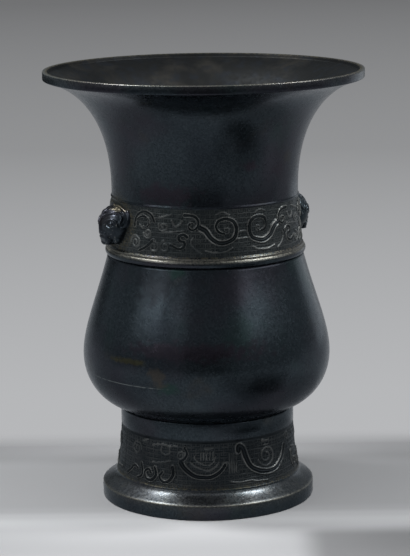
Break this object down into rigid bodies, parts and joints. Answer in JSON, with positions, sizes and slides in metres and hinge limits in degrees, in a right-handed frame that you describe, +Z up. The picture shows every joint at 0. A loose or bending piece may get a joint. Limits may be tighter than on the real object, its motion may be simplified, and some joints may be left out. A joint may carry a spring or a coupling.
{
  "type": "baluster vase",
  "caption": "Cast bronze baluster vase with flared mouth, relief bands on neck and foot, and two riveted animal masks.",
  "frame": {"origin": "centre of the flat face that the foot stands on", "axes": "+Z up along the vase's axis to the mouth, masks on the X axis, centre of the front relief panel at -Y"},
  "size_m": [0.206, 0.2068, 0.28],
  "materials": {
    "patinated_bronze": "dark satin patina",
    "mask_bronze": "dark patina, rubbed on the high points",
    "raw_bronze": "rough cast, dull brown",
    "solder": "dull grey"
  },
  "bodies": {
    "root": {"mouth_and_neck": "patinated_bronze", "body": "patinated_bronze", "foot": "patinated_bronze", "base_plate": "raw_bronze", "left_mask": "mask_bronze", "right_mask": "mask_bronze", "left_mask_rivet": "raw_bronze", "right_mask_rivet": "raw_bronze", "neck_solder_seam": "solder", "foot_solder_seam": "solder", "base_plate_solder_seam": "solder"}
  },
  "joints": []
}
